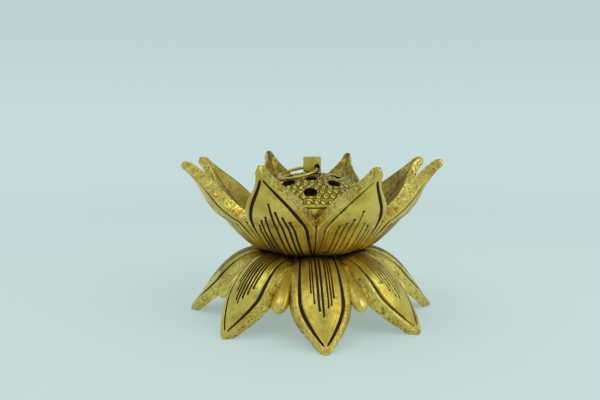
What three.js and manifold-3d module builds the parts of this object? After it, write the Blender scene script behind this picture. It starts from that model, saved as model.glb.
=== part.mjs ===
import * as THREE from "three";
import { mergeVertices } from "three/addons/utils/BufferGeometryUtils.js";
import Module from "manifold-3d";

// A brass dhoop burner: an open lotus cup bolted to an upturned lotus base, with a bowl for the
// dhoop and a pierced lid that carries a ring. Millimetres, +Z up, the floor at z = 0, and the
// front towards -Y.

const wasm = await Module();
wasm.setup();

// Common sizes
const petalCount = 8;
const seatGap = 0.3; // between two pieces that rest on each other
const roundSides = 32;
const smallSides = 24;
const bowlSteps = 5; // along the curve of the bowl's foot
const domeSteps = 8; // from the lid's rim to its middle
const plateLap = 1; // how far the sloping edge of a lotus's plate runs under its petals
const petalRows = 10;
const petalColumns = 4;
const seamOverlap = THREE.MathUtils.degToRad(0.6); // neighbouring petals run into each other by this

// Base lotus: petals turned down, standing on their tips
const waistHeight = 30.4;
const baseNeckRadius = 24;
const baseTipRadius = 58.3;
const baseLongReach = 2; // how much further the front and back petals reach
const baseShoulder = 17.1; // how far the petal runs level before it turns down
const baseFootPull = 16.6;
const baseFootSlope = THREE.MathUtils.degToRad(53.4);
const baseWall = 4;
const basePetalWidth = 23.8;
const baseTipWidth = 2;
const baseTaperStart = 0.59; // share of the petal's length where it starts to narrow
const baseTaperPower = 1.9;
const baseRoll = 2.4; // how far the edges of a petal curl in
const baseRollPower = 2;

// Buds that hang between the base petals
const budStartRadius = 29.5;
const budEndRadius = 46.2;
const budStartDrop = 4; // below the waist
const budEndDrop = 20.2;
const budWidth = 10.5;
const budThickness = 5.4;
const budStem = 0.35; // share of the full width at the stem
const budFullest = 0.72; // share of the bud's length where it is widest
const budBlunt = 0.14; // share of the full width left at the end
const budRows = 7;
const budSides = 8;

// Cup lotus: petals turned up and out, joined up to the notches
const cupNeckRadius = 24.5;
const cupOverhang = 3.2; // how far its tips reach out past the tips of the base
const cupTipRadius = baseTipRadius + cupOverhang;
const cupRise = 40.2; // from the cup's underside to the outer edge of a tip
const cupShoulder = new THREE.Vector2(12.8, 2.4); // pull of the curve as it leaves the neck
const cupTipPull = new THREE.Vector2(7.2, 6.2); // pull of the curve as it reaches the tip
const cupPlate = 4; // thickness of the cup's floor
const cupWall = 5.4;
const cupTipWall = 4.2;
const cupThinning = 0.55; // share of the petal's length where its wall starts to thin
const cupPetalWidth = 33;
const cupTipWidth = 2.4;
const cupTaperStart = 0.38; // share of the petal's length where it starts to narrow
const cupRoll = 1.6;
const cupRollPower = 1.5;
const cupCrease = 0.8; // depth of the valley along the inside of a petal
const cupTwist = THREE.MathUtils.degToRad(-2.5);

// Dhoop bowl
const bowlRadius = 27.5;
const bowlHeight = 17.4;
const bowlWall = 1.6;
const bowlFloor = 3;
const bowlFootRadius = 13.5;
const bowlTurn = 11.5; // height at which the curved foot becomes the upright wall

// Lid
const lidRadius = 30;
const lidRise = 11.7; // of the dome above its rim band
const lidWall = 1.8;
const lidBand = 0.6;
const lipDepth = 1.7;
const lipWall = 1.2;
const lipGap = 0.4; // between the lid's lip and the bowl
const holeRadius = 3;
const innerHoleRadius = 2.65;
const holeEdgeMargin = 7; // from the lid's rim in to the outer row of holes
const holeRowPitch = 5.7;
const holesPerRow = 5;
const holeTurn = THREE.MathUtils.degToRad(-6.5); // of the first hole from the front
const holeSides = 12;

// Knob and ring
const knobRadius = 4.15;
const knobHeight = 7;
const knobHoleHeight = 2.05; // above the knob's underside
const knobHoleRadius = 1.65;
const knobShankRadius = 2;
const knobShankRoot = 0.5; // how far the shank runs up inside the knob
const knobShankSpare = 0.8; // shank showing past its nut
const ringRadius = 8.6;
const ringWire = 0.75;
const ringOffset = 0.53; // how far the wire bows past the axis of the hole
const ringHeading = THREE.MathUtils.degToRad(-60); // from the front towards +X
const ringSteps = 36;
const ringSides = 8;

// Fasteners
const knobWasherRadius = 4.5;
const knobNutAcross = 7;
const knobNutHeight = 3.2;
const screwRadius = 2;
const screwHeadRadius = 4.2; // a countersunk head whose sides slope at 45 degrees
const screwHeadSunk = 0.2; // below the floor of the bowl
const screwSlotWidth = 1;
const screwSlotDepth = 1.2;
const screwSpare = 1;
const baseWasherRadius = 6;
const baseNutAcross = 7;
const baseNutHeight = 3.2;
const washerThickness = 0.8;
const threadGap = 0.3;

// Heights that follow from the sizes above
const cupUnderside = waistHeight + seatGap;
const cupFloor = cupUnderside + cupPlate;
const bowlUnderside = cupFloor + seatGap;
const bowlTop = bowlUnderside + bowlHeight;
const bowlFloorTop = bowlUnderside + bowlFloor;
const screwHeadTop = bowlFloorTop - screwHeadSunk;
const lidUnderside = bowlTop + seatGap;
const domeRadius = (lidRadius ** 2 + lidRise ** 2) / (2 * lidRise);
const domeTop = lidUnderside + lidBand + lidRise;
const domeCentre = domeTop - domeRadius;
const knobUnderside = domeTop + seatGap;
const pivotHeight = knobUnderside + knobHoleHeight;
const boreMargin = 2; // how far a cutter runs past what it cuts

function toSolid(geometry) {
  const shape = geometry.clone();
  shape.deleteAttribute("normal");
  shape.deleteAttribute("uv");
  const merged = mergeVertices(shape, 1e-4);
  return new wasm.Manifold(
    new wasm.Mesh({
      numProp: 3,
      vertProperties: new Float32Array(merged.attributes.position.array),
      triVerts: new Uint32Array(merged.index.array),
    }),
  );
}

function toGeometry(solid) {
  const mesh = solid.getMesh();
  const geometry = new THREE.BufferGeometry();
  geometry.setAttribute("position", new THREE.BufferAttribute(mesh.vertProperties, 3));
  geometry.setIndex(new THREE.BufferAttribute(mesh.triVerts, 1));
  return geometry;
}

function join(solids) {
  return solids.reduce((whole, solid) => whole.add(solid));
}

function cut(solid, cutters) {
  return cutters.reduce((left, cutter) => left.subtract(cutter), solid);
}

// A solid turned about Z from [radius, height] points that start and end on the axis or close.
function turned(outline, sides = roundSides) {
  const points = outline.map(([radius, height]) => new THREE.Vector2(radius, height));
  return toSolid(new THREE.LatheGeometry(points, sides).rotateX(Math.PI / 2));
}

function cylinder(radius, bottom, top, sides = roundSides) {
  return turned([[0, bottom], [radius, bottom], [radius, top], [0, top]], sides);
}

// Points of an arc in the plane of [radius, height], between two angles above the level.
function arc(centreRadius, centreHeight, radius, fromAngle, toAngle, steps) {
  return Array.from({ length: steps + 1 }, (_, i) => {
    const angle = THREE.MathUtils.lerp(fromAngle, toAngle, i / steps);
    return [centreRadius + radius * Math.cos(angle), centreHeight + radius * Math.sin(angle)];
  });
}

// A closed loft through rows of points, where each row goes once round its section.
function loft(rows) {
  const around = rows[0].length;
  const positions = rows.flat().flatMap((point) => point.toArray());
  const index = [];
  for (let i = 0; i + 1 < rows.length; i++) {
    for (let j = 0; j < around; j++) {
      const a = i * around + j;
      const b = i * around + ((j + 1) % around);
      index.push(a, b, b + around, a, b + around, a + around);
    }
  }
  const last = (rows.length - 1) * around;
  for (let j = 0; j < around / 2 - 1; j++) {
    const far = around - 1 - j;
    index.push(j, far, far - 1, j, far - 1, j + 1);
    index.push(last + j, last + far - 1, last + far, last + j, last + j + 1, last + far - 1);
  }
  const geometry = new THREE.BufferGeometry();
  geometry.setAttribute("position", new THREE.Float32BufferAttribute(positions, 3));
  geometry.setIndex(index);
  return geometry;
}

function turnAbout(geometry, angle) {
  return toSolid(geometry.clone().rotateZ(angle));
}

// A point at a radius and height, turned from the front (-Y) towards +X.
function polar(radius, angle, height) {
  return new THREE.Vector3(radius * Math.sin(angle), -radius * Math.cos(angle), height);
}

// The share of a petal's length where it gets narrower than its sector and leaves its neighbours.
function notchShare(spine, halfWidth, sector) {
  let joined = 0;
  let apart = 1;
  while (apart - joined > 1e-6) {
    const middle = (joined + apart) / 2;
    if (halfWidth(middle) > spine.getPointAt(middle).x * Math.sin(sector)) {
      joined = middle;
    } else {
      apart = middle;
    }
  }
  return joined;
}

// The shares of a petal's length that get a row of points. One of them is at its notch.
function rowShares(notch) {
  const before = Math.max(Math.round(notch * petalRows), 1);
  const after = petalRows - before;
  return Array.from({ length: petalRows + 1 }, (_, i) =>
    i < before ? (notch * i) / before : notch + ((1 - notch) * (i - before)) / after,
  );
}

// One petal pointing to the front. Its outer face follows spine, a curve of radius and height,
// and inside is +1 where the wall lies above the curve and -1 where it lies below. The half width
// and the wall are functions of the share of its length.
function petal({ spine, halfWidth, fullWidth, roll, rollPower, wall, crease, inside }) {
  const sector = Math.PI / petalCount + seamOverlap;
  const rows = [];
  for (const share of rowShares(notchShare(spine, halfWidth, sector))) {
    const centre = spine.getPointAt(share);
    const along = spine.getTangentAt(share);
    const spread = Math.min(Math.asin(Math.min(halfWidth(share) / centre.x, 1)), sector);
    const place = (s, depth) =>
      polar(
        centre.x - inside * along.y * depth,
        s * spread,
        centre.y + inside * along.x * depth,
      );
    const outer = [];
    const inner = [];
    for (let j = 0; j <= petalColumns; j++) {
      const s = (2 * j) / petalColumns - 1;
      const side = Math.abs(s) * centre.x * Math.sin(spread);
      const rolled = roll * ((2 * side) / fullWidth) ** rollPower;
      outer.push(place(s, rolled));
      inner.push(place(s, rolled + wall(share) - crease * (1 - Math.abs(s))));
    }
    const section = [...outer, ...inner.reverse()];
    rows.push(inside > 0 ? section : section.reverse());
  }
  return loft(rows);
}

// A drop that hangs from the neck of the base, slim at the stem and round at its end.
function bud() {
  const start = new THREE.Vector2(budStartRadius, waistHeight - budStartDrop);
  const end = new THREE.Vector2(budEndRadius, waistHeight - budEndDrop);
  const along = end.clone().sub(start).normalize();
  const rows = [];
  for (let i = 0; i <= budRows; i++) {
    const u = Math.sin(((i / budRows) * Math.PI) / 2);
    const swell = THREE.MathUtils.smoothstep(u, 0, budFullest);
    const closing = Math.max((u - budFullest) / (1 - budFullest), 0);
    const rounding = Math.max(Math.sqrt(1 - closing ** 2), budBlunt);
    const size = THREE.MathUtils.lerp(budStem, 1, swell) * rounding;
    const centre = start.clone().lerp(end, u);
    const section = [];
    for (let j = 0; j < budSides; j++) {
      const angle = ((j + 0.5) / budSides) * 2 * Math.PI;
      const across = (size * budWidth * Math.cos(angle)) / 2;
      const deep = (size * budThickness * Math.sin(angle)) / 2;
      const radius = centre.x - along.y * deep;
      const height = centre.y + along.x * deep;
      section.push(new THREE.Vector3(across, -radius, height));
    }
    rows.push(section);
  }
  return loft(rows);
}

// One petal of the base, which stands on the floor at tipRadius.
function basePetal(tipRadius) {
  const neck = new THREE.Vector2(baseNeckRadius, waistHeight);
  const foot = new THREE.Vector2(tipRadius, 0);
  const spine = new THREE.CubicBezierCurve(
    neck,
    new THREE.Vector2(baseNeckRadius + baseShoulder, waistHeight),
    new THREE.Vector2(
      foot.x - baseFootPull * Math.cos(baseFootSlope),
      baseFootPull * Math.sin(baseFootSlope),
    ),
    foot,
  );
  const halfWidth = (share) => {
    const taper = Math.max((share - baseTaperStart) / (1 - baseTaperStart), 0) ** baseTaperPower;
    return THREE.MathUtils.lerp(basePetalWidth, baseTipWidth, taper) / 2;
  };
  return petal({
    spine,
    halfWidth,
    fullWidth: basePetalWidth,
    roll: baseRoll,
    rollPower: baseRollPower,
    wall: () => baseWall,
    crease: 0,
    inside: -1,
  });
}

function makeBaseLotus() {
  const step = (2 * Math.PI) / petalCount;
  const petals = Array.from({ length: petalCount }, (_, k) => {
    const isLong = k % (petalCount / 2) === 0;
    const shape = basePetal(baseTipRadius + (isLong ? baseLongReach : 0));
    return turnAbout(shape, k * step);
  });
  const drop = bud();
  const buds = Array.from({ length: petalCount }, (_, k) => turnAbout(drop, (k + 0.5) * step));
  const plateUnderside = waistHeight - baseWall;
  const plate = turned([
    [0, plateUnderside],
    [baseNeckRadius + plateLap, plateUnderside],
    [baseNeckRadius, waistHeight],
    [0, waistHeight],
  ]);
  const belowFloor = toSolid(
    new THREE.BoxGeometry(4 * baseTipRadius, 4 * baseTipRadius, baseTipRadius)
      .translate(0, 0, -baseTipRadius / 2),
  );
  const bore = cylinder(screwRadius + threadGap, plateUnderside - boreMargin, waistHeight + boreMargin);
  return cut(join([plate, ...petals, ...buds]), [belowFloor, bore]);
}

function makeCupLotus() {
  const neck = new THREE.Vector2(cupNeckRadius, cupUnderside);
  const tip = new THREE.Vector2(cupTipRadius, cupUnderside + cupRise);
  const spine = new THREE.CubicBezierCurve(
    neck,
    neck.clone().add(cupShoulder),
    tip.clone().sub(cupTipPull),
    tip,
  );
  const halfWidth = (share) => {
    const open = Math.min((1 - share) / (1 - cupTaperStart), 1);
    return THREE.MathUtils.lerp(cupTipWidth, cupPetalWidth, open) / 2;
  };
  const wall = (share) => {
    const thinned = THREE.MathUtils.smoothstep(share, cupThinning, 1);
    return THREE.MathUtils.lerp(cupWall, cupTipWall, thinned);
  };
  const shape = petal({
    spine,
    halfWidth,
    fullWidth: cupPetalWidth,
    roll: cupRoll,
    rollPower: cupRollPower,
    wall,
    crease: cupCrease,
    inside: 1,
  });
  const step = (2 * Math.PI) / petalCount;
  const petals = Array.from({ length: petalCount }, (_, k) =>
    turnAbout(shape, (k + 0.5) * step + cupTwist),
  );
  const plate = turned([
    [0, cupUnderside],
    [cupNeckRadius, cupUnderside],
    [cupNeckRadius + plateLap, cupFloor],
    [0, cupFloor],
  ]);
  const bore = cylinder(screwRadius + threadGap, cupUnderside - boreMargin, cupFloor + boreMargin);
  return cut(join([plate, ...petals]), [bore]);
}

// Half of the bowl's wall, from the foot's edge to the rim, set in by a wall thickness.
function bowlSide(inset, floorHeight) {
  const rim = bowlRadius - inset;
  const curve = new THREE.QuadraticBezierCurve(
    new THREE.Vector2(bowlFootRadius, floorHeight),
    new THREE.Vector2(rim, floorHeight),
    new THREE.Vector2(rim, bowlUnderside + bowlTurn),
  );
  return [...curve.getPoints(bowlSteps).map((point) => [point.x, point.y]), [rim, bowlTop]];
}

// The bowl's floor has a bore and a conical recess, which keeps seatGap from the screw's head.
function makeDhoopBowl() {
  const body = turned([
    [0, bowlUnderside],
    ...bowlSide(0, bowlUnderside),
    ...bowlSide(bowlWall, bowlFloorTop).reverse(),
    [0, bowlFloorTop],
  ]);
  const boreRadius = screwRadius + threadGap;
  const recessRadius = screwHeadRadius + seatGap * Math.SQRT2;
  const cutterTop = bowlFloorTop + boreMargin;
  const recess = turned([
    [0, bowlUnderside - boreMargin],
    [boreRadius, bowlUnderside - boreMargin],
    [boreRadius, screwHeadTop - (recessRadius - boreRadius)],
    [recessRadius + cutterTop - screwHeadTop, cutterTop],
    [0, cutterTop],
  ]);
  return cut(body, [recess]);
}

// A round cutter that goes square through the dome at a distance from its axis.
function domeDrill(radius, fromAxis, angle) {
  const lean = Math.asin(fromAxis / domeRadius);
  const length = 2 * lidWall + boreMargin;
  const drill = new THREE.CylinderGeometry(radius, radius, length, holeSides)
    .rotateX(Math.PI / 2)
    .translate(0, 0, domeRadius - lidWall / 2)
    .rotateX(lean)
    .rotateZ(angle)
    .translate(0, 0, domeCentre);
  return toSolid(drill);
}

function makeLidDome() {
  const innerRadius = domeRadius - lidWall;
  const lipOuter = bowlRadius - bowlWall - lipGap;
  const lipInner = lipOuter - lipWall;
  const rimAngle = Math.acos(lidRadius / domeRadius);
  const innerAngle = Math.acos(lipInner / innerRadius);
  const body = turned([
    ...arc(0, domeCentre, innerRadius, Math.PI / 2, innerAngle, domeSteps),
    [lipInner, lidUnderside - lipDepth],
    [lipOuter, lidUnderside - lipDepth],
    [lipOuter, lidUnderside],
    [lidRadius, lidUnderside],
    ...arc(0, domeCentre, domeRadius, rimAngle, Math.PI / 2, domeSteps),
  ]);
  const drills = [];
  for (let row = 0; row < 3; row++) {
    const fromAxis = lidRadius - holeEdgeMargin - row * holeRowPitch;
    const radius = row === 2 ? innerHoleRadius : holeRadius;
    for (let k = 0; k < holesPerRow; k++) {
      const angle = ((k + (row % 2) / 2) / holesPerRow) * 2 * Math.PI + holeTurn;
      drills.push(domeDrill(radius, fromAxis, angle));
    }
  }
  drills.push(cylinder(knobShankRadius + threadGap, domeTop - lidWall - boreMargin, domeTop + boreMargin));
  return cut(body, drills);
}

// The knob's washer and nut hang under the dome from its shank.
const knobWasherTop =
  domeCentre + Math.sqrt((domeRadius - lidWall) ** 2 - knobWasherRadius ** 2) - seatGap;
const knobNutTop = knobWasherTop - washerThickness - seatGap;

function makeLidKnob() {
  const shankEnd = knobNutTop - knobNutHeight - knobShankSpare;
  const body = cylinder(knobRadius, knobUnderside, knobUnderside + knobHeight);
  const shank = cylinder(knobShankRadius, shankEnd, knobUnderside + knobShankRoot, smallSides);
  const hole = new THREE.CylinderGeometry(knobHoleRadius, knobHoleRadius, 4 * knobRadius, smallSides)
    .rotateZ(Math.PI / 2)
    .rotateZ(ringHeading)
    .translate(0, 0, pivotHeight);
  return cut(join([body, shank]), [toSolid(hole)]);
}

// The ring lies down on the dome: the far side of its wire rests a seat gap above the metal.
function makeLidRing() {
  const reach = 2 * ringRadius - ringOffset;
  const above = pivotHeight - domeCentre;
  const clear = domeRadius + ringWire + seatGap;
  const tilt = Math.asin((reach ** 2 + above ** 2 - clear ** 2) / (2 * reach * above));
  return toSolid(
    new THREE.TorusGeometry(ringRadius, ringWire, ringSides, ringSteps)
      .translate(0, -(ringRadius - ringOffset), 0)
      .rotateX(tilt)
      .rotateZ(ringHeading)
      .translate(0, 0, pivotHeight),
  );
}

function washer(radius, hole, top) {
  const bottom = top - washerThickness;
  return turned(
    [[hole, bottom], [radius, bottom], [radius, top], [hole, top], [hole, bottom]],
    smallSides,
  );
}

function nut(across, hole, top, height) {
  const corner = across / Math.sqrt(3);
  const body = cylinder(corner, top - height, top, 6);
  return cut(body, [cylinder(hole, top - height - boreMargin, top + boreMargin, smallSides)]);
}

// The screw's washer and nut are under the base.
const baseWasherTop = waistHeight - baseWall - seatGap;
const baseNutTop = baseWasherTop - washerThickness - seatGap;

function makeCentreScrew() {
  const end = baseNutTop - baseNutHeight - screwSpare;
  const body = turned([
    [0, end],
    [screwRadius, end],
    [screwRadius, screwHeadTop - (screwHeadRadius - screwRadius)],
    [screwHeadRadius, screwHeadTop],
    [0, screwHeadTop],
  ], smallSides);
  const slot = new THREE.BoxGeometry(4 * screwHeadRadius, screwSlotWidth, 2 * screwSlotDepth);
  return cut(body, [toSolid(slot.translate(0, 0, screwHeadTop))]);
}

const brass = (name, solid, colour, roughness) => {
  const material = new THREE.MeshStandardMaterial({ color: colour, roughness, metalness: 1 });
  const mesh = new THREE.Mesh(toGeometry(solid), material);
  mesh.name = name;
  return mesh;
};

const base = new THREE.Group();
base.add(
  brass("base_lotus", makeBaseLotus(), 0x9c8433, 0.38),
  brass("cup_lotus", makeCupLotus(), 0x98803a, 0.4),
  brass("dhoop_bowl", makeDhoopBowl(), 0xa8934a, 0.3),
  brass("centre_screw", makeCentreScrew(), 0x8d7a3c, 0.35),
  brass(
    "base_washer",
    washer(baseWasherRadius, screwRadius + threadGap, baseWasherTop),
    0x8a7638,
    0.4,
  ),
  brass(
    "base_nut",
    nut(baseNutAcross, screwRadius + threadGap, baseNutTop, baseNutHeight),
    0x8a7638,
    0.4,
  ),
);

const lid = new THREE.Group();
lid.add(
  brass("lid_dome", makeLidDome(), 0x9e8a3c, 0.42),
  brass("lid_knob", makeLidKnob(), 0xa08c42, 0.35),
  brass(
    "knob_washer",
    washer(knobWasherRadius, knobShankRadius + threadGap, knobWasherTop),
    0x8a7638,
    0.4,
  ),
  brass(
    "knob_nut",
    nut(knobNutAcross, knobShankRadius + threadGap, knobNutTop, knobNutHeight),
    0x8a7638,
    0.4,
  ),
  brass("lid_ring", makeLidRing(), 0x9a863e, 0.35),
);

const burner = new THREE.Group();
burner.add(base, lid);

export default burner;
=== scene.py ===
"""An aged brass dhoop burner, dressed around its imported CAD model.

Lengths are in metres. An angle about Z is measured from the front (-Y) towards +X. A petal's share
runs from 0 at its root to 1 at its tip, and its depth from its outer face towards its inner face.
"""

import math
from dataclasses import dataclass
from typing import Callable

import bmesh
import bpy
import numpy as np
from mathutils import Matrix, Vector

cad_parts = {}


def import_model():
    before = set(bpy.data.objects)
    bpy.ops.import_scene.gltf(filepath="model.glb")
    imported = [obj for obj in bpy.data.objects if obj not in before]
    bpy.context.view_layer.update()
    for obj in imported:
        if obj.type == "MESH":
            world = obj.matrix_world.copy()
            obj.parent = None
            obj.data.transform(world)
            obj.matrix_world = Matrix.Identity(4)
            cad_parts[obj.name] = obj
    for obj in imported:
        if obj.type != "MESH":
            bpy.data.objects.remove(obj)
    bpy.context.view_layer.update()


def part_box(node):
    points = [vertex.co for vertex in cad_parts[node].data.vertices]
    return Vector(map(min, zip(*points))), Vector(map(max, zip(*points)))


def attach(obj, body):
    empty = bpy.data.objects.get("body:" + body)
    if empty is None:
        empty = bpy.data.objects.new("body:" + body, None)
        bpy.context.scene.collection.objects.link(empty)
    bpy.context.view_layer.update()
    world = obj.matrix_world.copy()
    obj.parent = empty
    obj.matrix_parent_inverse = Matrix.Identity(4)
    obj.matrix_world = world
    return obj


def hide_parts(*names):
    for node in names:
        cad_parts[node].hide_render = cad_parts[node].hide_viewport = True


MM = 0.001
PETALS = 8
STEP = 2 * math.pi / PETALS
SECTOR = STEP / 2

# Carving on the petals
GROOVE_HALF = 0.9 * MM
GROOVE_STEPS = np.array([-1.2, -1, -0.5, 0, 0.5, 1, 1.2])
GROOVE_CUT = np.array([-0.13, 0, 0.64, 0.85, 0.64, 0, -0.13]) * MM  # between two raised lips
GROOVE_DARK = np.array([0, 0.35, 0.95, 1, 0.95, 0.35, 0])
LINE_HALF = 0.46 * MM
LINE_DEPTH = 0.42 * MM
LINE_EDGE_DARK = 0.55
LINE_START = 0.02  # share of the petal where the lines begin
DOT_RADIUS = 0.75 * MM
DOT_DEPTH = 0.55 * MM
FIELD_EDGE = 0.9  # share of the field's half width that its outermost columns keep to
ROOT_SHADE = 0.035  # share of the petal that the painted shade of the waist covers
CREASE_SHADE = 0.55  # painted shade along the creases of the inner faces
CREASE_REACH = 0.22  # share of the half width that it spreads over
WALL_SHADE = 0.8  # painted shade low down on the side walls, between crowded petals
SHADE_FADE = 0.22  # share of the petal over which it thins out
SPLAY_FADE = (0.68, 0.95)  # shares between which the splay of the sides runs out
BORDER_STEPS = np.array([0.2, 0.5, 0.8, 1])
SEAM_CORNER = 0.7 * MM  # rounding of a petal's edge along the seam with its neighbour
FREE_CORNER = 0.4 * MM  # and where it stands free
CORNER_STEPS = np.radians([30, 60, 90])
CORNER_DARK = np.array([0.3, 0.8, 1])  # patina down the seam
CORNER_FILED = np.array([0.3, 0.65, 0.95])  # file marks over the edge where it stands free
WALL_STEPS = np.linspace(0, 1, 7)[1:-1]
INNER_STEPS = np.array([1, 0.86, 0.7, 0.54, 0.4, 0.27, 0.16, 0.08, 0.03])
NOSE_TURN = np.radians([18, 36, 52, 66, 78])

ROW_SPACING = 0.7 * MM  # between rows of points along a petal
DOT_ROW_SPACING = 0.36 * MM  # and where the lines end in dots

NECK_DISC = 21 * MM  # radius of the flat plate inside each neck
SHANK_HOLE = 2.3 * MM  # radius of the bores for the screw and the knob's shank
FAR = 1.0  # metres, more than any distance on the object


def smooth(value, low, high):
    """0 below low, 1 above high, and an even rise between them."""
    t = np.clip((value - low) / (high - low), 0, 1)
    return t * t * (3 - 2 * t)


def soft_least(a, b, softness):
    """The smaller of two lengths, with the change from one to the other rounded off."""
    return -softness * np.log(np.exp(-a / softness) + np.exp(-b / softness))


def bend(start, corner, end, t):
    """The point at t, from 0 to 1, of a curve that is drawn towards its corner."""
    return (1 - t) ** 2 * start + 2 * (1 - t) * t * corner + t**2 * end


def turned(x, y, angle):
    """Two coordinates after a turn about their origin."""
    return x * math.cos(angle) - y * math.sin(angle), x * math.sin(angle) + y * math.cos(angle)


def at_angle(radius, angle, height):
    return radius * math.sin(angle), -radius * math.cos(angle), height


def ripple(points, wavelength, seed, waves=14):
    """A smooth random field of about unit height, made of plane waves in random directions."""
    rng = np.random.default_rng(seed)
    field = np.zeros(len(points))
    for _ in range(waves):
        direction = rng.normal(size=points.shape[1])
        direction /= np.linalg.norm(direction)
        turns = 2 * math.pi / (wavelength * rng.uniform(0.7, 1.4))
        field += np.sin(points @ direction * turns + rng.uniform(0, 2 * math.pi))
    return field / math.sqrt(waves / 2)


# Petals


class Spine:
    """A petal's middle line in the plane of radius and height, read by share of its length."""

    def __init__(self, start, start_pull, end_pull, end):
        t = np.linspace(0, 1, 800)[:, None]
        a, b, c, d = (np.array(point) for point in (start, start_pull, end_pull, end))
        self.points = (1 - t) ** 3 * a + 3 * (1 - t) ** 2 * t * b + 3 * (1 - t) * t**2 * c + t**3 * d
        steps = np.linalg.norm(np.diff(self.points, axis=0), axis=1)
        run = np.concatenate([[0], np.cumsum(steps)])
        self.length = run[-1]
        self.shares = run / self.length

    def at(self, share):
        return [np.interp(share, self.shares, self.points[:, i]) for i in (0, 1)]

    def along(self, share):
        ahead, behind = self.at(np.minimum(share + 1e-3, 1)), self.at(np.maximum(share - 1e-3, 0))
        run = np.subtract(ahead, behind)
        return run / np.linalg.norm(run, axis=0)


@dataclass
class Lotus:
    """What the eight petals of one casting share."""

    spine: Spine
    half_width: Callable
    groove: Callable  # how far the outline groove runs from the petal's middle
    full_width: float
    roll: float  # how far the petal's edges curl in
    roll_power: float
    wall: Callable
    flank: float  # how much wider the petal is at its inner face, where it stands free
    nose: float  # length of the rounding at the tip
    crease: float  # depth of the valley along the inner face
    crown: float  # height of the border's rounded back
    border_marks: float  # how strongly the border outside the grooves is filed
    shaded_to: float  # share of the length up to which the side walls carry painted shade low down
    inside: int  # +1 where the inner face lies above the outer one, and -1 where below
    line_places: tuple  # share of the field's half width
    line_ends: tuple  # share of the petal's length
    dots_from: float
    dots_to: float
    apex: float  # share of the petal's length where the grooves meet and end

    def notch(self):
        """The share of the length where a petal leaves its neighbours."""
        share = np.linspace(0.02, 0.9, 4000)
        radius, _ = self.spine.at(share)
        return share[np.argmax(self.half_width(share) <= radius * math.sin(SECTOR))]

    def rows(self):
        """A column of the shares that have a row of points, and how many come before the notch."""
        length = self.spine.length
        notch = self.notch()
        stops = sorted((0, notch, self.dots_from, self.dots_to, 1 - self.nose / length))
        shares = [np.zeros(1)]
        for start, end in zip(stops, stops[1:]):
            dotted = self.dots_from < (start + end) / 2 < self.dots_to
            spacing = DOT_ROW_SPACING if dotted else ROW_SPACING
            count = math.ceil((end - start) * length / spacing)
            shares.append(np.linspace(start, end, count + 1)[1:])
        shares.append(1 - self.nose / length * (1 - np.sin(NOSE_TURN)))
        shares = np.concatenate(shares)
        return shares[:, None], np.abs(shares - notch).argmin()


@dataclass
class Petal:
    """How one petal differs from the others."""

    angle: float
    mirror: int = 1
    reach: float = 0  # how much further out the tip is
    droop: float = 0  # of the tip
    bow: float = 0  # how far it swells out past the notch and then back before its flaring tip
    lean: float = 0  # of the tip, sideways
    line_shift: float = 0
    line_places: tuple = ()  # where they differ from the others'
    line_strength: float = 1
    groove_strength: tuple = (1, 1)  # of the groove on each side
    inner_shade: float = 0.38  # painted shade all over the inner face
    seed: int = 0


def carved_field(lotus, petal, share, field):
    """Sideways place, depth of cut and darkness between the grooves, where the lines run.

    Each line has five columns of points: its middle, its two edges, and two for its dot.
    """
    rng = np.random.default_rng(petal.seed)
    places = np.array(petal.line_places or lotus.line_places) * petal.mirror
    ends = np.array(lotus.line_ends) + petal.line_shift
    order = np.argsort(places)
    places = places[order] + rng.normal(0, 0.008, len(places))
    ends = ends[order] + rng.normal(0, 0.008, len(places))

    gaps = np.diff([-FIELD_EDGE, *places, FIELD_EDGE])
    rooms = 0.46 * np.minimum(gaps[:-1], gaps[1:])
    columns = [-FIELD_EDGE * field]
    for place, room in zip(places, rooms):
        spot = np.minimum(DOT_RADIUS, room * field)
        thin = np.minimum(LINE_HALF, 0.6 * spot)
        columns += [place * field + offset for offset in (-spot, -thin, 0, thin, spot)]
    columns.append(FIELD_EDGE * field)
    side = np.stack(columns, axis=1)

    started = smooth(share, LINE_START, 2.5 * LINE_START)
    cut = np.zeros_like(side)
    dark = np.zeros_like(side)
    for i, (place, end, room) in enumerate(zip(places, ends, rooms)):
        on = (share <= end) * started * petal.line_strength
        middle = 3 + 5 * i
        cut[:, middle] = LINE_DEPTH * on
        dark[:, middle] = on
        dark[:, [middle - 1, middle + 1]] = LINE_EDGE_DARK * on[:, None]
        field_there = np.interp(end, share, field)
        along = (share - end)[:, None] * lotus.spine.length
        across = side[:, middle - 2 : middle + 3] - field_there * place
        size = min(DOT_RADIUS, room * field_there)
        dot = np.clip(1 - (along**2 + across**2) / size**2, 0, 1)
        own = slice(middle - 2, middle + 3)
        cut[:, own] = np.maximum(cut[:, own], DOT_DEPTH * dot)
        dark[:, own] = np.maximum(dark[:, own], np.clip(2.5 * dot, 0, 1) * petal.line_strength)
    return side, cut, dark


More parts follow.
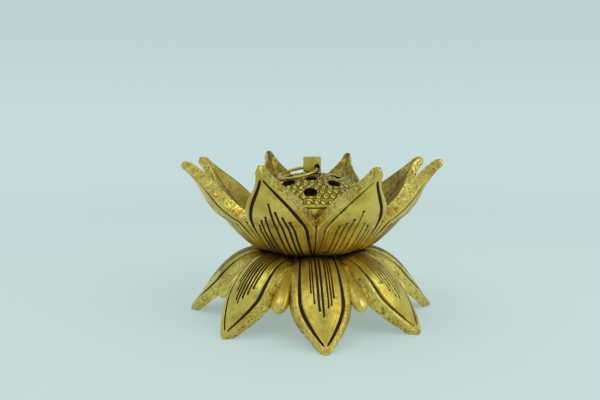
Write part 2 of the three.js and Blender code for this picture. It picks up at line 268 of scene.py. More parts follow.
def outer_face(lotus, petal, share, edge):
    """Sideways place, depth of cut and darkness of each point of the outer face."""
    groove = np.maximum(lotus.groove(share), 0.1 * edge)
    width = (0.5 + 0.5 * smooth(share, 0.1, 0.55)) * (1 - 0.35 * smooth(share, 0.7, lotus.apex))
    inner = np.minimum(GROOVE_HALF * width, groove / 2)
    outer = np.minimum(GROOVE_HALF * width, (edge - groove) / 2)
    half = np.where(GROOVE_STEPS < 0, inner[:, None], outer[:, None])
    groove_side = groove[:, None] + half * GROOVE_STEPS
    lip = groove + outer * GROOVE_STEPS[-1]
    band = edge - lip
    border = lip[:, None] + band[:, None] * BORDER_STEPS
    fade = 1 - smooth(share, lotus.apex, lotus.apex + 0.02)
    groove_cut = GROOVE_CUT * fade[:, None]
    groove_dark = GROOVE_DARK * fade[:, None]
    crown = lotus.crown * np.minimum(1, band / (2 * MM)) * smooth(share, 0.05, 0.3)
    border_cut = -4 * crown[:, None] * BORDER_STEPS * (1 - BORDER_STEPS)

    field = groove - inner * GROOVE_STEPS[-1]
    field_side, field_cut, field_dark = carved_field(lotus, petal, share, field)
    left, right = petal.groove_strength
    plain = np.zeros_like(border_cut)
    side = [-border[:, ::-1], -groove_side[:, ::-1], field_side, groove_side, border]
    cuts = [
        border_cut[:, ::-1], left * groove_cut[:, ::-1], field_cut, right * groove_cut, border_cut,
    ]
    darks = [plain, left * groove_dark[:, ::-1], field_dark, right * groove_dark, plain]
    return [np.concatenate(block, axis=1) for block in (side, cuts, darks)]


def round_section(outer, corner, wall, under, inner, mirror=1):
    """Values of the points once round a petal's section, from those of its faces and right side.

    mirror is -1 where the left side has the opposite values, and 1 where it has the same.
    """
    left_corner, left_under, left_wall = (mirror * part[:, ::-1] for part in (corner, under, wall))
    parts = [left_corner, outer, corner, wall, under, inner, left_under, left_wall]
    return np.concatenate(parts, axis=1)


def petal_grid(lotus, petal, share):
    """Sideways place, depth, tarnish with painted shade, and file marks of a petal's points, a row
    per share.
    """
    radius, _ = lotus.spine.at(share)
    nose = np.clip((share - 1) * lotus.spine.length / lotus.nose + 1, 0, 1)
    slim = np.sqrt(1 - nose**2)
    joined = share < lotus.notch() - 1e-6
    apart = smooth(share, lotus.notch(), lotus.notch() + 0.03)
    wall = lotus.wall(share)
    width = np.minimum(lotus.half_width(share), radius * math.sin(SECTOR)) * slim
    corner = np.minimum(SEAM_CORNER + (FREE_CORNER - SEAM_CORNER) * apart, 0.45 * width)
    edge = width - corner
    sunk = (1 - slim) * wall / 2

    def rolled(side):
        return lotus.roll * np.abs(2 * side / lotus.full_width) ** lotus.roll_power

    outer_side, outer_cut, outer_dark = outer_face(lotus, petal, share[:, 0], edge[:, 0])
    outer_depth = rolled(outer_side) + outer_cut * slim + sunk
    # painted shade in the recess of the waist, at each petal's root
    outer_dark = np.maximum(outer_dark, 1 - smooth(share, ROOT_SHADE / 2, ROOT_SHADE))

    top = rolled(edge) + sunk
    bottom = rolled(edge) + wall - sunk
    corner_side = edge + corner * np.sin(CORNER_STEPS)
    corner_depth = top + corner * (1 - np.cos(CORNER_STEPS))
    corner_dark = (1 - apart) * CORNER_DARK
    wall_depth = top + corner + (bottom - top - 2 * corner) * WALL_STEPS
    room = np.clip(0.95 * radius * math.sin(SECTOR) - width, 0, None)
    splay = np.minimum(lotus.flank * slim * (1 - smooth(share, *SPLAY_FADE)), room)
    wall_side = width + splay * WALL_STEPS
    back = np.pi / 2 - CORNER_STEPS[::-1]
    under_side = edge + splay + corner * np.cos(back)
    under_depth = bottom - corner * (1 - np.sin(back))

    steps = np.concatenate([INNER_STEPS, [0], -INNER_STEPS[::-1]])
    inner_side = (edge + splay) * steps
    valley = lotus.crease * (1 - np.abs(steps)) ** 1.2
    inner_depth = rolled(edge * steps) + (wall - sunk) - valley * slim
    # painted shade down the valley of the inner face
    crease_shade = CREASE_SHADE * np.clip(1 - np.abs(steps) / CREASE_REACH, 0, 1)
    crease_shade = np.maximum(petal.inner_shade, crease_shade)
    inner_shade = np.repeat(crease_shade[None], len(share), axis=0)

    # painted shade low down on the side walls, in the recesses between the petals
    low_shade = 1 - smooth(share, lotus.shaded_to - SHADE_FADE, lotus.shaded_to)
    wall_shade = WALL_SHADE * low_shade * smooth(WALL_STEPS, 0.3, 0.9)
    open_edge = np.where(joined, 0, slim**2)
    rim = open_edge * CORNER_FILED
    wall_filed = np.repeat(open_edge, len(WALL_STEPS), axis=1)
    outer_filed = np.zeros_like(outer_side)
    borders = np.r_[: len(BORDER_STEPS), -len(BORDER_STEPS) : 0]
    outer_filed[:, borders] = lotus.border_marks
    grid = [
        round_section(outer_side, corner_side, wall_side, under_side, inner_side, mirror=-1),
        round_section(outer_depth, corner_depth, wall_depth, under_depth, inner_depth),
        round_section(outer_dark, corner_dark, wall_shade, np.zeros_like(rim), inner_shade),
        round_section(outer_filed, rim, wall_filed, rim[:, ::-1], np.zeros_like(inner_side)),
    ]
    outer_columns = 2 * len(CORNER_STEPS) + outer_side.shape[1]
    spans = (outer_columns, outer_columns + len(WALL_STEPS), -len(WALL_STEPS))
    return grid, spans


def petal_points(lotus, petal, share, side, depth):
    """Places the points of a petal's grid in space."""
    radius, height = lotus.spine.at(share)
    along_radius, along_height = lotus.spine.along(share)
    grown = smooth(share, lotus.notch(), 1)
    free = np.clip((share - lotus.notch()) / (1 - lotus.notch()), 0, 1)
    depth = depth - petal.bow * np.sin(2 * math.pi * free) * smooth(free, 0, 0.12)
    angle = petal.angle + petal.lean * grown + np.arcsin(np.clip(side / radius, -1, 1))
    out = radius + petal.reach * grown - lotus.inside * along_height * depth
    up = height + lotus.inside * along_radius * depth - petal.droop * grown
    return np.stack([out * np.sin(angle), -out * np.cos(angle), up], axis=-1)


def petal_faces(rows, columns, before, spans, first):
    """Quads of one petal. Before the notch its side walls are left out."""
    outer_end, inner_start, inner_end = spans
    inner_end += columns
    faces = []
    for i in range(rows - 1):
        for j in range(columns):
            walled = i >= before
            outer = j < outer_end - 1
            inner = inner_start <= j < inner_end - 1
            if walled or outer or inner:
                a, b = i * columns + j, i * columns + (j + 1) % columns
                faces.append([first + a, first + b, first + b + columns, first + a + columns])
    last = first + (rows - 1) * columns
    faces.append(list(range(last, last + columns)))
    return faces


def ring_of_edges(bm, radius, height, count=48):
    turns = [2 * math.pi * k / count for k in range(count)]
    verts = [bm.verts.new(at_angle(radius, turn, height)) for turn in turns]
    return [bm.edges.new((verts[k - 1], verts[k])) for k in range(count)]


def close_neck(bm, middle, outer_height, inner_height):
    """Fills the open neck with a plate that has a bore. middle is a height inside the plate."""
    open_edges = [edge for edge in bm.edges if edge.is_boundary]
    above = [e for e in open_edges if e.verts[0].co.z > middle]
    below = [e for e in open_edges if e.verts[0].co.z <= middle]
    outer, inner = (above, below) if outer_height > inner_height else (below, above)
    loops = [
        outer,
        ring_of_edges(bm, NECK_DISC, outer_height),
        ring_of_edges(bm, SHANK_HOLE, outer_height),
        ring_of_edges(bm, SHANK_HOLE, inner_height),
        ring_of_edges(bm, NECK_DISC, inner_height),
        inner,
    ]
    for start, end in zip(loops, loops[1:]):
        bmesh.ops.bridge_loops(bm, edges=start + end)


def lotus_mesh(name, lotus, petals):
    """The eight petals welded into one shell, still open at the neck, with its surface values."""
    share, before = lotus.rows()
    points, values, faces = [], [], []
    for petal in petals:
        (side, depth, dark, filed), spans = petal_grid(lotus, petal, share)
        first = sum(len(block) for block in points)
        faces += petal_faces(*side.shape, before, spans, first)
        points.append(petal_points(lotus, petal, share, side, depth).reshape(-1, 3))
        run = np.repeat(share * lotus.spine.length, side.shape[1], axis=1)
        values.append(np.stack([dark, filed, run, depth], axis=-1).reshape(-1, 4))
    points, values = np.concatenate(points), np.concatenate(values)
    mesh = bpy.data.meshes.new(name)
    mesh.from_pydata(points.tolist(), [], faces)
    for label, column in zip(("patina_and_shade", "filed", "run", "depth"), values.T):
        write(mesh, label, column)
    bm = bmesh.new()
    bm.from_mesh(mesh)
    loose = [vert for vert in bm.verts if not vert.link_faces]
    bmesh.ops.delete(bm, geom=loose, context="VERTS")
    bmesh.ops.remove_doubles(bm, verts=bm.verts, dist=2e-6)
    return mesh, bm


def read(mesh, label):
    values = np.zeros(len(mesh.vertices))
    mesh.attributes[label].data.foreach_get("value", values)
    return values


def write(mesh, label, values):
    attribute = mesh.attributes.get(label) or mesh.attributes.new(label, "FLOAT", "POINT")
    attribute.data.foreach_set("value", values)


def surface_values(mesh, patina_and_shade=0.25, sharp=35):
    """Gives a mesh what its material reads, and edges bent more than sharp degrees a crisp look."""
    count = len(mesh.vertices)
    write(mesh, "patina_and_shade", np.full(count, patina_and_shade))
    write(mesh, "filed", np.zeros(count))
    mesh.set_sharp_from_angle(angle=math.radians(sharp))
    return mesh


def points_of(mesh):
    points = np.zeros(len(mesh.vertices) * 3)
    mesh.vertices.foreach_get("co", points)
    return points.reshape(-1, 3)


def move_to(mesh, points):
    mesh.vertices.foreach_set("co", points.ravel())
    mesh.update()


def move_out(mesh, amount):
    """Moves each point along its normal."""
    normals = np.zeros(len(mesh.vertices) * 3)
    mesh.vertex_normals.foreach_get("vector", normals)
    move_to(mesh, points_of(mesh) + normals.reshape(-1, 3) * amount[:, None])


def work_by_hand(mesh, seed, face_wave=0.025 * MM, file_marks=0.055 * MM):
    """Unevenness of a cast and filed surface: soft waves on the faces, file marks on the edges."""
    points, filed = points_of(mesh), read(mesh, "filed")
    run = np.stack([read(mesh, "run"), 0.3 * read(mesh, "depth")], axis=1)
    run = np.concatenate([run, 0.3 * points], axis=1)
    soft = ripple(points, 9 * MM, seed) + 0.25 * ripple(points, 3 * MM, seed + 1)
    marks = ripple(run, 1.5 * MM, seed + 2) + ripple(run, 3.4 * MM, seed + 3)
    move_out(mesh, face_wave * soft * (1 - filed) + file_marks * marks * filed)


def finish_mesh(mesh, bm):
    bmesh.ops.recalc_face_normals(bm, faces=bm.faces)
    bm.to_mesh(mesh)
    bm.free()
    mesh.update()
    mesh.shade_smooth()
    return mesh


def bud_block(bm, patina_and_shade, angle, size):
    """A drop with softly flattened sides that hangs between two base petals."""
    rows, sides = 22, 30
    facet = math.pi / size["facets"]
    start, end = np.array(size["start"]), np.array(size["end"])
    along = (end - start) / np.linalg.norm(end - start)
    rings = []
    for i in range(rows + 1):
        share = math.sin(i / rows * math.pi / 2)
        swell = float(smooth(share, 0, size["fullest"]))
        closing = max((share - size["fullest"]) / (1 - size["fullest"]), 0)
        grow = (size["stem"] + (1 - size["stem"]) * swell) * max(math.sqrt(1 - closing**2), 0.1)
        centre = start + (end - start) * share
        ring = []
        for j in range(sides):
            turn = 2 * math.pi * j / sides
            flat = math.cos(facet) / math.cos((turn + facet / 2) % (2 * facet) - facet)
            reach = grow * (1 + size["flatness"] * (flat - 1))
            across = reach * size["width"] * math.cos(turn) / 2
            deep = reach * size["thickness"] * math.sin(turn) / 2
            radius = centre[0] - along[1] * deep
            x, y = turned(across, -radius, angle)
            vert = bm.verts.new((x, y, centre[1] + along[0] * deep))
            # painted shade on the bud's upper stem, where it tucks in under the petals
            vert[patina_and_shade] = size["patina_and_shade"] * (1 - float(smooth(share, 0.1, 0.55)))
            ring.append(vert)
        rings.append(ring)
    for a, b in zip(rings, rings[1:]):
        for j in range(sides):
            bm.faces.new((a[j - 1], a[j], b[j], b[j - 1]))
    bm.faces.new(rings[0])
    bm.faces.new(rings[-1])


def cup_lotus():
    low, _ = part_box("cup_lotus")
    start = np.array([24.5 * MM, low.z])
    end = start + np.array([37.0, 40.2]) * MM
    spine = Spine(start, start + np.array([12.8, 2.4]) * MM, end - np.array([7.2, 6.2]) * MM, end)
    petal_width, tip_width = 33 * MM, 2.8 * MM
    full_wall, tip_wall, floor = 5.4 * MM, 4.2 * MM, 4 * MM

    def taper(share):
        return np.minimum((1 - share) / 0.62, 1)

    def half_width(share):
        """A straight taper that bulges a little at first and is slimmer near the tip."""
        bulge = -0.085 * np.sin(2 * math.pi * np.minimum(taper(share) / 0.85, 1))
        return (tip_width + (petal_width - tip_width) * (taper(share) + bulge)) / 2

    def wall(share):
        return full_wall + (tip_wall - full_wall) * smooth(share, 0.55, 1)

    def groove(share):
        border = (1.2 + 0.9 * smooth(share, 0.6, 0.85)) * MM
        straight = petal_width / 2 * taper(share) - border
        return soft_least((9.4 + 10.5 * share) * MM, straight, 3.1 * MM)

    lotus = Lotus(
        spine=spine, half_width=half_width, groove=groove, full_width=petal_width,
        roll=1.6 * MM, roll_power=1.5, wall=wall, flank=0, nose=2.6 * MM, crease=1.3 * MM,
        crown=0.12 * MM, border_marks=0.12, shaded_to=0, inside=1,
        line_places=(-0.74, -0.54, -0.32, 0, 0.26, 0.47, 0.66),
        line_ends=(0.41, 0.494, 0.542, 0.661, 0.582, 0.542, 0.504),
        dots_from=0.38, dots_to=0.7, apex=0.89,
    )
    rng = np.random.default_rng(7)
    droops = np.array([1.6, 0.6, 1.9, 1.5, 0.3, 1.9, 1.4, 0.9]) * MM
    reaches = np.array([0, -0.7, 0, 0, 0, 0, 0.7, 0]) * MM
    bows = np.array([0.5, 0.9, 0.8, 0.6, 0.5, 0.7, 1.2, 0.5]) * MM
    twist = math.radians(2.5)
    petals = [
        Petal(
            angle=(k + 0.5) * STEP - twist, mirror=1 if k % 2 else -1,
            reach=reaches[k], droop=droops[k], bow=bows[k],
            lean=rng.uniform(-0.008, 0.008), line_shift=rng.uniform(-0.03, 0.01),
            line_strength=rng.uniform(0.8, 1), groove_strength=tuple(rng.uniform(0.8, 1, 2)),
            seed=100 + k,
        )
        for k in range(PETALS)
    ]
    front_right, front_left = petals[0], petals[-1]
    front_right.line_shift, front_right.lean = -0.07, 0
    front_right.line_strength, front_right.groove_strength = 0.62, (0.5, 0.95)
    front_left.line_shift, front_left.lean = 0, 0.015
    front_left.line_strength, front_left.groove_strength = 1, (1, 1)
    petals[2].lean = -0.035
    # heavier painted shade on the back petals' inner faces, which turn towards the front
    for shaded_petal in petals[1:5]:
        shaded_petal.inner_shade = 0.45
    mesh, bm = lotus_mesh("cup_casting", lotus, petals)
    close_neck(bm, low.z + full_wall / 2, low.z, low.z + floor)
    finish_mesh(mesh, bm)
    work_by_hand(mesh, seed=11)
    return mesh


def base_lotus():
    _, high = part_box("base_lotus")
    start, end = np.array([24 * MM, high.z]), np.array([58.3 * MM, 0])
    slope = math.radians(53.4)
    foot_pull = 16.6 * MM * np.array([-math.cos(slope), math.sin(slope)])
    spine = Spine(start, start + np.array([17.1 * MM, 0]), end + foot_pull, end)
    petal_width, tip_width, wall = 23.8 * MM, 1.8 * MM, 4 * MM

    def half_width(share):
        taper = np.maximum((share - 0.56) / 0.44, 0) ** 1.5
        return (petal_width + (tip_width - petal_width) * taper) / 2

    def groove(share):
        border = (2 + 1.1 * smooth(share, 0.35, 0.8)) * MM
        return soft_least((7.4 + 7 * share) * MM, half_width(share) - border, 1.9 * MM)

    lotus = Lotus(
        spine=spine, half_width=half_width, groove=groove, full_width=petal_width,
        roll=2.4 * MM, roll_power=2, wall=lambda share: np.full_like(share, wall),
        flank=2 * MM, nose=1.7 * MM, crease=0, crown=0.3 * MM, border_marks=0.5,
        shaded_to=0.66, inside=-1,
        line_places=(-0.6, -0.41, -0.21, 0, 0.21, 0.41, 0.6),
        line_ends=(0.483, 0.574, 0.636, 0.67, 0.62, 0.577, 0.523),
        dots_from=0.44, dots_to=0.71, apex=0.91,
    )
    rng = np.random.default_rng(19)
    leans = (0.008, 0.028, 0, 0.008, -0.006, -0.008, -0.03, 0)
    reaches = np.array([2, 0, 0, 0, 2, 0, 0, -1.2]) * MM
    petals = [
        Petal(
            angle=k * STEP, mirror=1 if k % 3 else -1, reach=reaches[k], lean=leans[k],
            line_shift=rng.uniform(-0.05, 0), line_strength=rng.uniform(0.8, 1),
            groove_strength=tuple(rng.uniform(0.8, 1, 2)), seed=200 + k,
        )
        for k in range(PETALS)
    ]
    front, front_right = petals[:2]
    front.mirror, front.line_shift, front.line_strength = 1, 0, 1
    front.line_places = (-0.535, -0.4, -0.17, 0.03, 0.3, 0.47, 0.62)
    front_right.line_strength, front_right.groove_strength = 0.6, (0.55, 1)
    mesh, bm = lotus_mesh("base_casting", lotus, petals)
    close_neck(bm, high.z - wall / 2 - 1 * MM, high.z, high.z - wall)
    bmesh.ops.recalc_face_normals(bm, faces=bm.faces)
    geometry = bm.verts[:] + bm.edges[:] + bm.faces[:]
    bmesh.ops.bisect_plane(
        bm, geom=geometry, dist=1e-7, plane_co=(0, 0, 0), plane_no=(0, 0, 1), clear_inner=True
    )
    bmesh.ops.holes_fill(bm, edges=[e for e in bm.edges if e.is_boundary], sides=0)
    patina_and_shade = bm.verts.layers.float["patina_and_shade"]
    # the bud's darkening value paints shade on its upper stem, under the petals
    bud = {
        "start": (29.5 * MM, high.z - 3.4 * MM), "end": (45.8 * MM, high.z - 19.2 * MM),
        "width": 7.6 * MM, "thickness": 5.4 * MM, "stem": 0.55, "fullest": 0.78, "facets": 6,
        "flatness": 0.55, "patina_and_shade": 0.35,
    }
    for k in range(PETALS):
        bud_block(bm, patina_and_shade, (k + 0.5) * STEP, bud)
    finish_mesh(mesh, bm)
    work_by_hand(mesh, seed=31)
    points = points_of(mesh)
    points[:, 2] = np.maximum(points[:, 2], 0)
    move_to(mesh, points)
    return mesh


# Turned pieces


def revolve(name, outline, segments):
    """A closed solid turned about Z. outline gives [radius, height] points for an angle."""
    sections = [np.array(outline(2 * math.pi * k / segments)) for k in range(segments)]
    count = len(sections[0])
    points = []
    for k, section in enumerate(sections):
        angle = 2 * math.pi * k / segments
        points.extend(at_angle(r, angle, z) for r, z in section)
    faces = []
    for k in range(segments):
        ahead = (k + 1) % segments
        for i in range(count):
            j = (i + 1) % count
            faces.append((k * count + i, k * count + j, ahead * count + j, ahead * count + i))
    mesh = bpy.data.meshes.new(name)
    mesh.from_pydata(points, [], faces)
    bm = bmesh.new()
    bm.from_mesh(mesh)
    bmesh.ops.remove_doubles(bm, verts=bm.verts, dist=1e-7)
    return finish_mesh(mesh, bm)


def arc_points(centre, radius, start, end, count):
    """Points of an arc in the plane of radius and height, its angles in degrees above level."""
    turns = np.radians(np.linspace(start, end, count))
    return [(centre[0] + radius * math.cos(a), centre[1] + radius * math.sin(a)) for a in turns]


def rounded(outline, radius, steps=3):
    """An outline whose corners are cut by short arcs, as a worn edge is."""
    result = []
    count = len(outline)
    for i in range(count):
        before, here, after = (np.array(outline[(i + k) % count]) for k in (-1, 0, 1))
        to_before, to_after = before - here, after - here
        reach = min(radius, 0.45 * np.linalg.norm(to_before), 0.45 * np.linalg.norm(to_after))
        start = here + to_before / np.linalg.norm(to_before) * reach
        end = here + to_after / np.linalg.norm(to_after) * reach
        for t in np.linspace(0, 1, steps):
            result.append(bend(start, here, end, t))
    return result


def add_object(name, mesh):
    piece = bpy.data.objects.new(name, mesh)
    bpy.context.scene.collection.objects.link(piece)
    return piece


def cut_away(mesh, cutters):
    """A mesh with every cutter taken away from it."""
    body = add_object("cut_body", mesh)
    tools = []
    for i, cutter in enumerate(cutters):
        tool = add_object(f"cut_tool_{i}", cutter)
        modifier = body.modifiers.new("cut", "BOOLEAN")
        modifier.operation = "DIFFERENCE"
        modifier.solver = "MANIFOLD"
        modifier.object = tool
        tools.append(tool)
    view = bpy.context.evaluated_depsgraph_get()
    result = bpy.data.meshes.new_from_object(body.evaluated_get(view))
    for piece in [body, *tools]:
        bpy.data.objects.remove(piece)
    return result


# Lid

LID_RADIUS = 30 * MM
LID_RISE = 11.7 * MM
LID_WALL = 1.8 * MM
LID_BAND = 0.6 * MM
LIP_DEPTH = 1.7 * MM
LIP_OUTER = 25.5 * MM
LIP_INNER = 24.3 * MM
DOME_RADIUS = (LID_RADIUS**2 + LID_RISE**2) / (2 * LID_RISE)
# Each row's distance from the axis, the radius of its holes, and its turn in steps between holes
HOLE_ROWS = ((23 * MM, 3 * MM, 0), (17.3 * MM, 3 * MM, 0.5), (11.6 * MM, 2.65 * MM, 0))
HOLES_PER_ROW = 5
HOLE_TURN = math.radians(-6.5)
HOLE_FLARE = 0.15 * MM
BEAD_ROWS = np.arange(LID_RADIUS - 1.75 * MM, 5.4 * MM, -2.75 * MM)  # distances from the axis
BEAD_SPACING = 3.15 * MM
BEAD_RADIUS = 1.1 * MM
BEAD_RING = 1.15 * MM  # radius of the ring punched round each bead
BEAD_RING_HALF = 0.22 * MM


def dome_centre():
    """Height of the centre of the dome's sphere."""
    low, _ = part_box("lid_dome")
    return low.z + LIP_DEPTH + LID_BAND + LID_RISE - DOME_RADIUS


def holes():
    """Distance from the axis, radius and angle of each hole drilled through the dome."""
    for from_axis, radius, offset in HOLE_ROWS:
        for k in range(HOLES_PER_ROW):
            yield from_axis, radius, (k + offset) * 2 * math.pi / HOLES_PER_ROW + HOLE_TURN


def hole_distance(points):
    """How far points of the dome are from the edge of the nearest hole."""
    nearest = np.full(len(points), FAR)
    for from_axis, radius, angle in holes():
        lean = math.asin(from_axis / DOME_RADIUS)
        axis = at_angle(math.sin(lean), angle, math.cos(lean))
        off_axis = np.linalg.norm(np.cross(points - (0, 0, dome_centre()), axis), axis=1)
        nearest = np.minimum(nearest, off_axis - radius)
    return nearest


def bead_pattern(radius, angle):
    """Height and darkness of the punched rings at points of the dome."""
    rng = np.random.default_rng(5)
    nearest = np.full(radius.shape, FAR)
    for row_radius in BEAD_ROWS:
        count = round(2 * math.pi * row_radius / BEAD_SPACING)
        step = 2 * math.pi / count
        start = rng.uniform(0, step)
        turn_off = rng.normal(0, 0.035, count) * step
        out_off = rng.normal(0, 0.1 * MM, count)
        index = np.round((angle - start) / step).astype(int) % count
        turn = (angle - start - index * step - turn_off[index] + math.pi) % (2 * math.pi) - math.pi
        gap = np.hypot(turn * radius, radius - row_radius - out_off[index])
        nearest = np.minimum(nearest, gap)
    ring = np.exp(-(((nearest - BEAD_RING) / BEAD_RING_HALF) ** 2))
    bead = np.clip(1 - (nearest / BEAD_RADIUS) ** 2, 0, 1)
    between = smooth(nearest, 1.35 * MM, 1.6 * MM)
    lift = (0.2 * bead - 0.3 * ring - 0.1 * between) * MM
    return lift, np.maximum(ring, 0.5 * between)


def lid_outline():
    """[radius, height] points of the lid's section, and how many of them are on the dome."""
    centre = dome_centre()
    under = centre + math.sqrt(DOME_RADIUS**2 - LID_RADIUS**2) - LID_BAND
    radii = np.linspace(SHANK_HOLE, LID_RADIUS - 0.3 * MM, 122)
    top = [(r, centre + math.sqrt(DOME_RADIUS**2 - r**2)) for r in radii]
    rim = under + LID_BAND
    edge = [
        (LID_RADIUS - 0.08 * MM, rim - 0.05 * MM), (LID_RADIUS, rim - 0.25 * MM), (LID_RADIUS, under),
    ]
    lip_end = under - LIP_DEPTH
    lip = [(LIP_OUTER, under), (LIP_OUTER, lip_end), (LIP_INNER, lip_end)]
    inner = DOME_RADIUS - LID_WALL
    radii = np.linspace(LIP_INNER, SHANK_HOLE, 16)
    vault = [(r, centre + math.sqrt(inner**2 - r**2)) for r in radii]
    return top + edge + lip + vault, len(top)


def hole_cutter(from_axis, radius, angle):
    """A drill square to the dome, with a small flare that breaks the hole's upper edge."""
    flared = radius + 3 * HOLE_FLARE
    reach = LID_WALL + 1 * MM
    outline = [
        (0, -reach), (radius, -reach), (radius, LID_WALL / 2 - HOLE_FLARE),
        (flared, LID_WALL / 2 + 2 * HOLE_FLARE), (flared, reach), (0, reach),
    ]
    mesh = revolve("lid_drill", lambda _: outline, 40)
    lean = math.asin(from_axis / DOME_RADIUS)
    x, y, z = points_of(mesh).T
    y, z = turned(y, z + DOME_RADIUS - LID_WALL / 2, lean)
    x, y = turned(x, y, angle)
    move_to(mesh, np.stack([x, y, z + dome_centre()], axis=1))
    return mesh


def lid_dome():
    segments = 600
    outline, on_dome = lid_outline()
    radii = np.array([point[0] for point in outline])
    centre = dome_centre()
    turns = 2 * math.pi * np.arange(segments) / segments
    grid_radius, grid_angle = np.meshgrid(radii[:on_dome], turns)
    height, _ = bead_pattern(grid_radius, grid_angle)
    beaded = smooth(grid_radius, SHANK_HOLE, 4.6 * MM)
    beaded *= 1 - smooth(grid_radius, 29.3 * MM, 29.8 * MM)
    height *= beaded

    def section(angle):
        points = np.array(outline)
        lift = height[round(angle / (2 * math.pi) * segments) % segments]
        points[:on_dome] += (points[:on_dome] - (0, centre)) / DOME_RADIUS * lift[:, None]
        return points

    body = revolve("lid_body", section, segments)
    mesh = cut_away(body, [hole_cutter(*hole) for hole in holes()])
    mesh.name = "lid_casting"
    points = points_of(mesh)
    radius = np.hypot(points[:, 0], points[:, 1])
    angle = np.arctan2(points[:, 0], -points[:, 1]) % (2 * math.pi)
    _, dark = bead_pattern(radius, angle)
    reach = np.linalg.norm(points - (0, 0, centre), axis=1)
    outside = smooth(reach, DOME_RADIUS - 0.7 * MM, DOME_RADIUS - 0.4 * MM)
    dark *= 1 - smooth(radius, 29.2 * MM, 29.7 * MM)
    from_hole = hole_distance(points)
    dark *= smooth(from_hole, HOLE_FLARE, 2.5 * HOLE_FLARE)
    dark = np.maximum(dark, from_hole < HOLE_FLARE / 3)
    soot = 0.85 * (1 - outside) * (radius < LIP_INNER)
    return surface_values(mesh, dark * outside + soot, sharp=50)


# Bowl, knob, ring and fasteners


def dhoop_bowl():
    low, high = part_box("dhoop_bowl")
    radius, wall, floor, foot = 27.5 * MM, 1.6 * MM, 3 * MM, 13.5 * MM
    turn = low.z + 11.5 * MM
    bore, recess = SHANK_HOLE, 4.82 * MM

    def side(rim, bottom):
        t = np.linspace(0, 1, 26)[:, None]
        ends = (np.array(point) for point in ((foot, bottom), (rim, bottom), (rim, turn)))
        return list(bend(*ends, t))

    rim_round = wall / 2
    rim_centre = (radius - rim_round, high.z - rim_round)
    outline = [
        (bore, low.z),
        *side(radius, low.z),
        *arc_points(rim_centre, rim_round, 0, 180, 11),
        *reversed(side(radius - wall, low.z + floor)),
        (recess, low.z + floor),
        (bore, low.z + floor - (recess - bore)),
    ]
    mesh = revolve("bowl_turned", lambda _: outline, 180)
    points = points_of(mesh)
    radius_at = np.hypot(points[:, 0], points[:, 1])
    inside = (radius_at < radius - 0.7 * wall) & (points[:, 2] > low.z + 0.7 * floor)
    soot = 0.7 * inside * (1 - smooth(points[:, 2], high.z - 8 * MM, high.z))
    # painted shade low on the bowl's outside, down inside the cup
    outside_shade = 0.8 * ~inside * (1 - smooth(points[:, 2], turn - 1 * MM, turn + 4 * MM))
    return surface_values(mesh, soot + outside_shade, sharp=40)


def threaded(radius, bottom, top, pitch=0.7 * MM, depth=0.2 * MM):
    """Outline of a threaded shank at each angle, from its lower end up."""
    heights = np.linspace(bottom, top, max(round((top - bottom) / pitch * 8), 2))

    def outline(angle):
        phase = ((heights - bottom) / pitch - angle / (2 * math.pi)) % 1
        cut = depth * np.abs(2 * phase - 1)
        cut += 0.3 * MM * np.clip(1 - (heights - bottom) / (0.5 * MM), 0, 1)
        return list(zip(radius - cut, heights))

    return outline


RING_RADIUS = 8.6 * MM
RING_WIRE = 0.75 * MM
RING_OFFSET = 0.53 * MM  # how far the wire bows past the axis of the hole
RING_HEADING = math.radians(-60)


def pivot_height():
    _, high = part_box("lid_knob")
    return high.z - 4.95 * MM


def lid_knob():
    low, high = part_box("lid_knob")
    radius, shank, knob_height, edge = 4.15 * MM, 2 * MM, 7 * MM, 0.45 * MM
    under = high.z - knob_height
    thread = threaded(shank, low.z, under - 2.2 * MM)

    def outline(angle):
        head = [
            (shank, under - 1.9 * MM), (shank, under),
            *arc_points((radius - edge, under + edge), edge, -90, 0, 4),
            *arc_points((radius - edge, high.z - edge), edge, 0, 90, 6),
            (0.5 * radius, high.z), (0, high.z),
        ]
        return [(0, low.z), *thread(angle), *head]

    body = revolve("knob_turned", outline, 72)
    hole_radius, reach = 1.65 * MM, 2 * radius
    mouth = radius - 0.4 * MM
    profile = [
        (0, -reach), (hole_radius + reach - mouth, -reach), (hole_radius, -mouth),
        (hole_radius, mouth), (hole_radius + reach - mouth, reach), (0, reach),
    ]
    drill = revolve("knob_drill", lambda _: profile, 36)
    across, up, along = points_of(drill).T
    x, y = turned(along, across, RING_HEADING)
    move_to(drill, np.stack([x, y, up + pivot_height()], axis=1))
    bm = bmesh.new()
    bm.from_mesh(drill)
    finish_mesh(drill, bm)
    mesh = cut_away(body, [drill])
    mesh.name = "knob_turned"
    points = points_of(mesh)
    radius_at = np.hypot(points[:, 0], points[:, 1])
    # painted shade inside the cross hole and round the underside of the knob's head
    hole = (radius_at < radius - 0.15 * MM) & (points[:, 2] < high.z - 0.3 * MM)
    foot = 1 - smooth(points[:, 2], under, under + 0.9 * MM)
    return surface_values(mesh, np.maximum(0.9 * hole, 0.8 * foot), sharp=38)


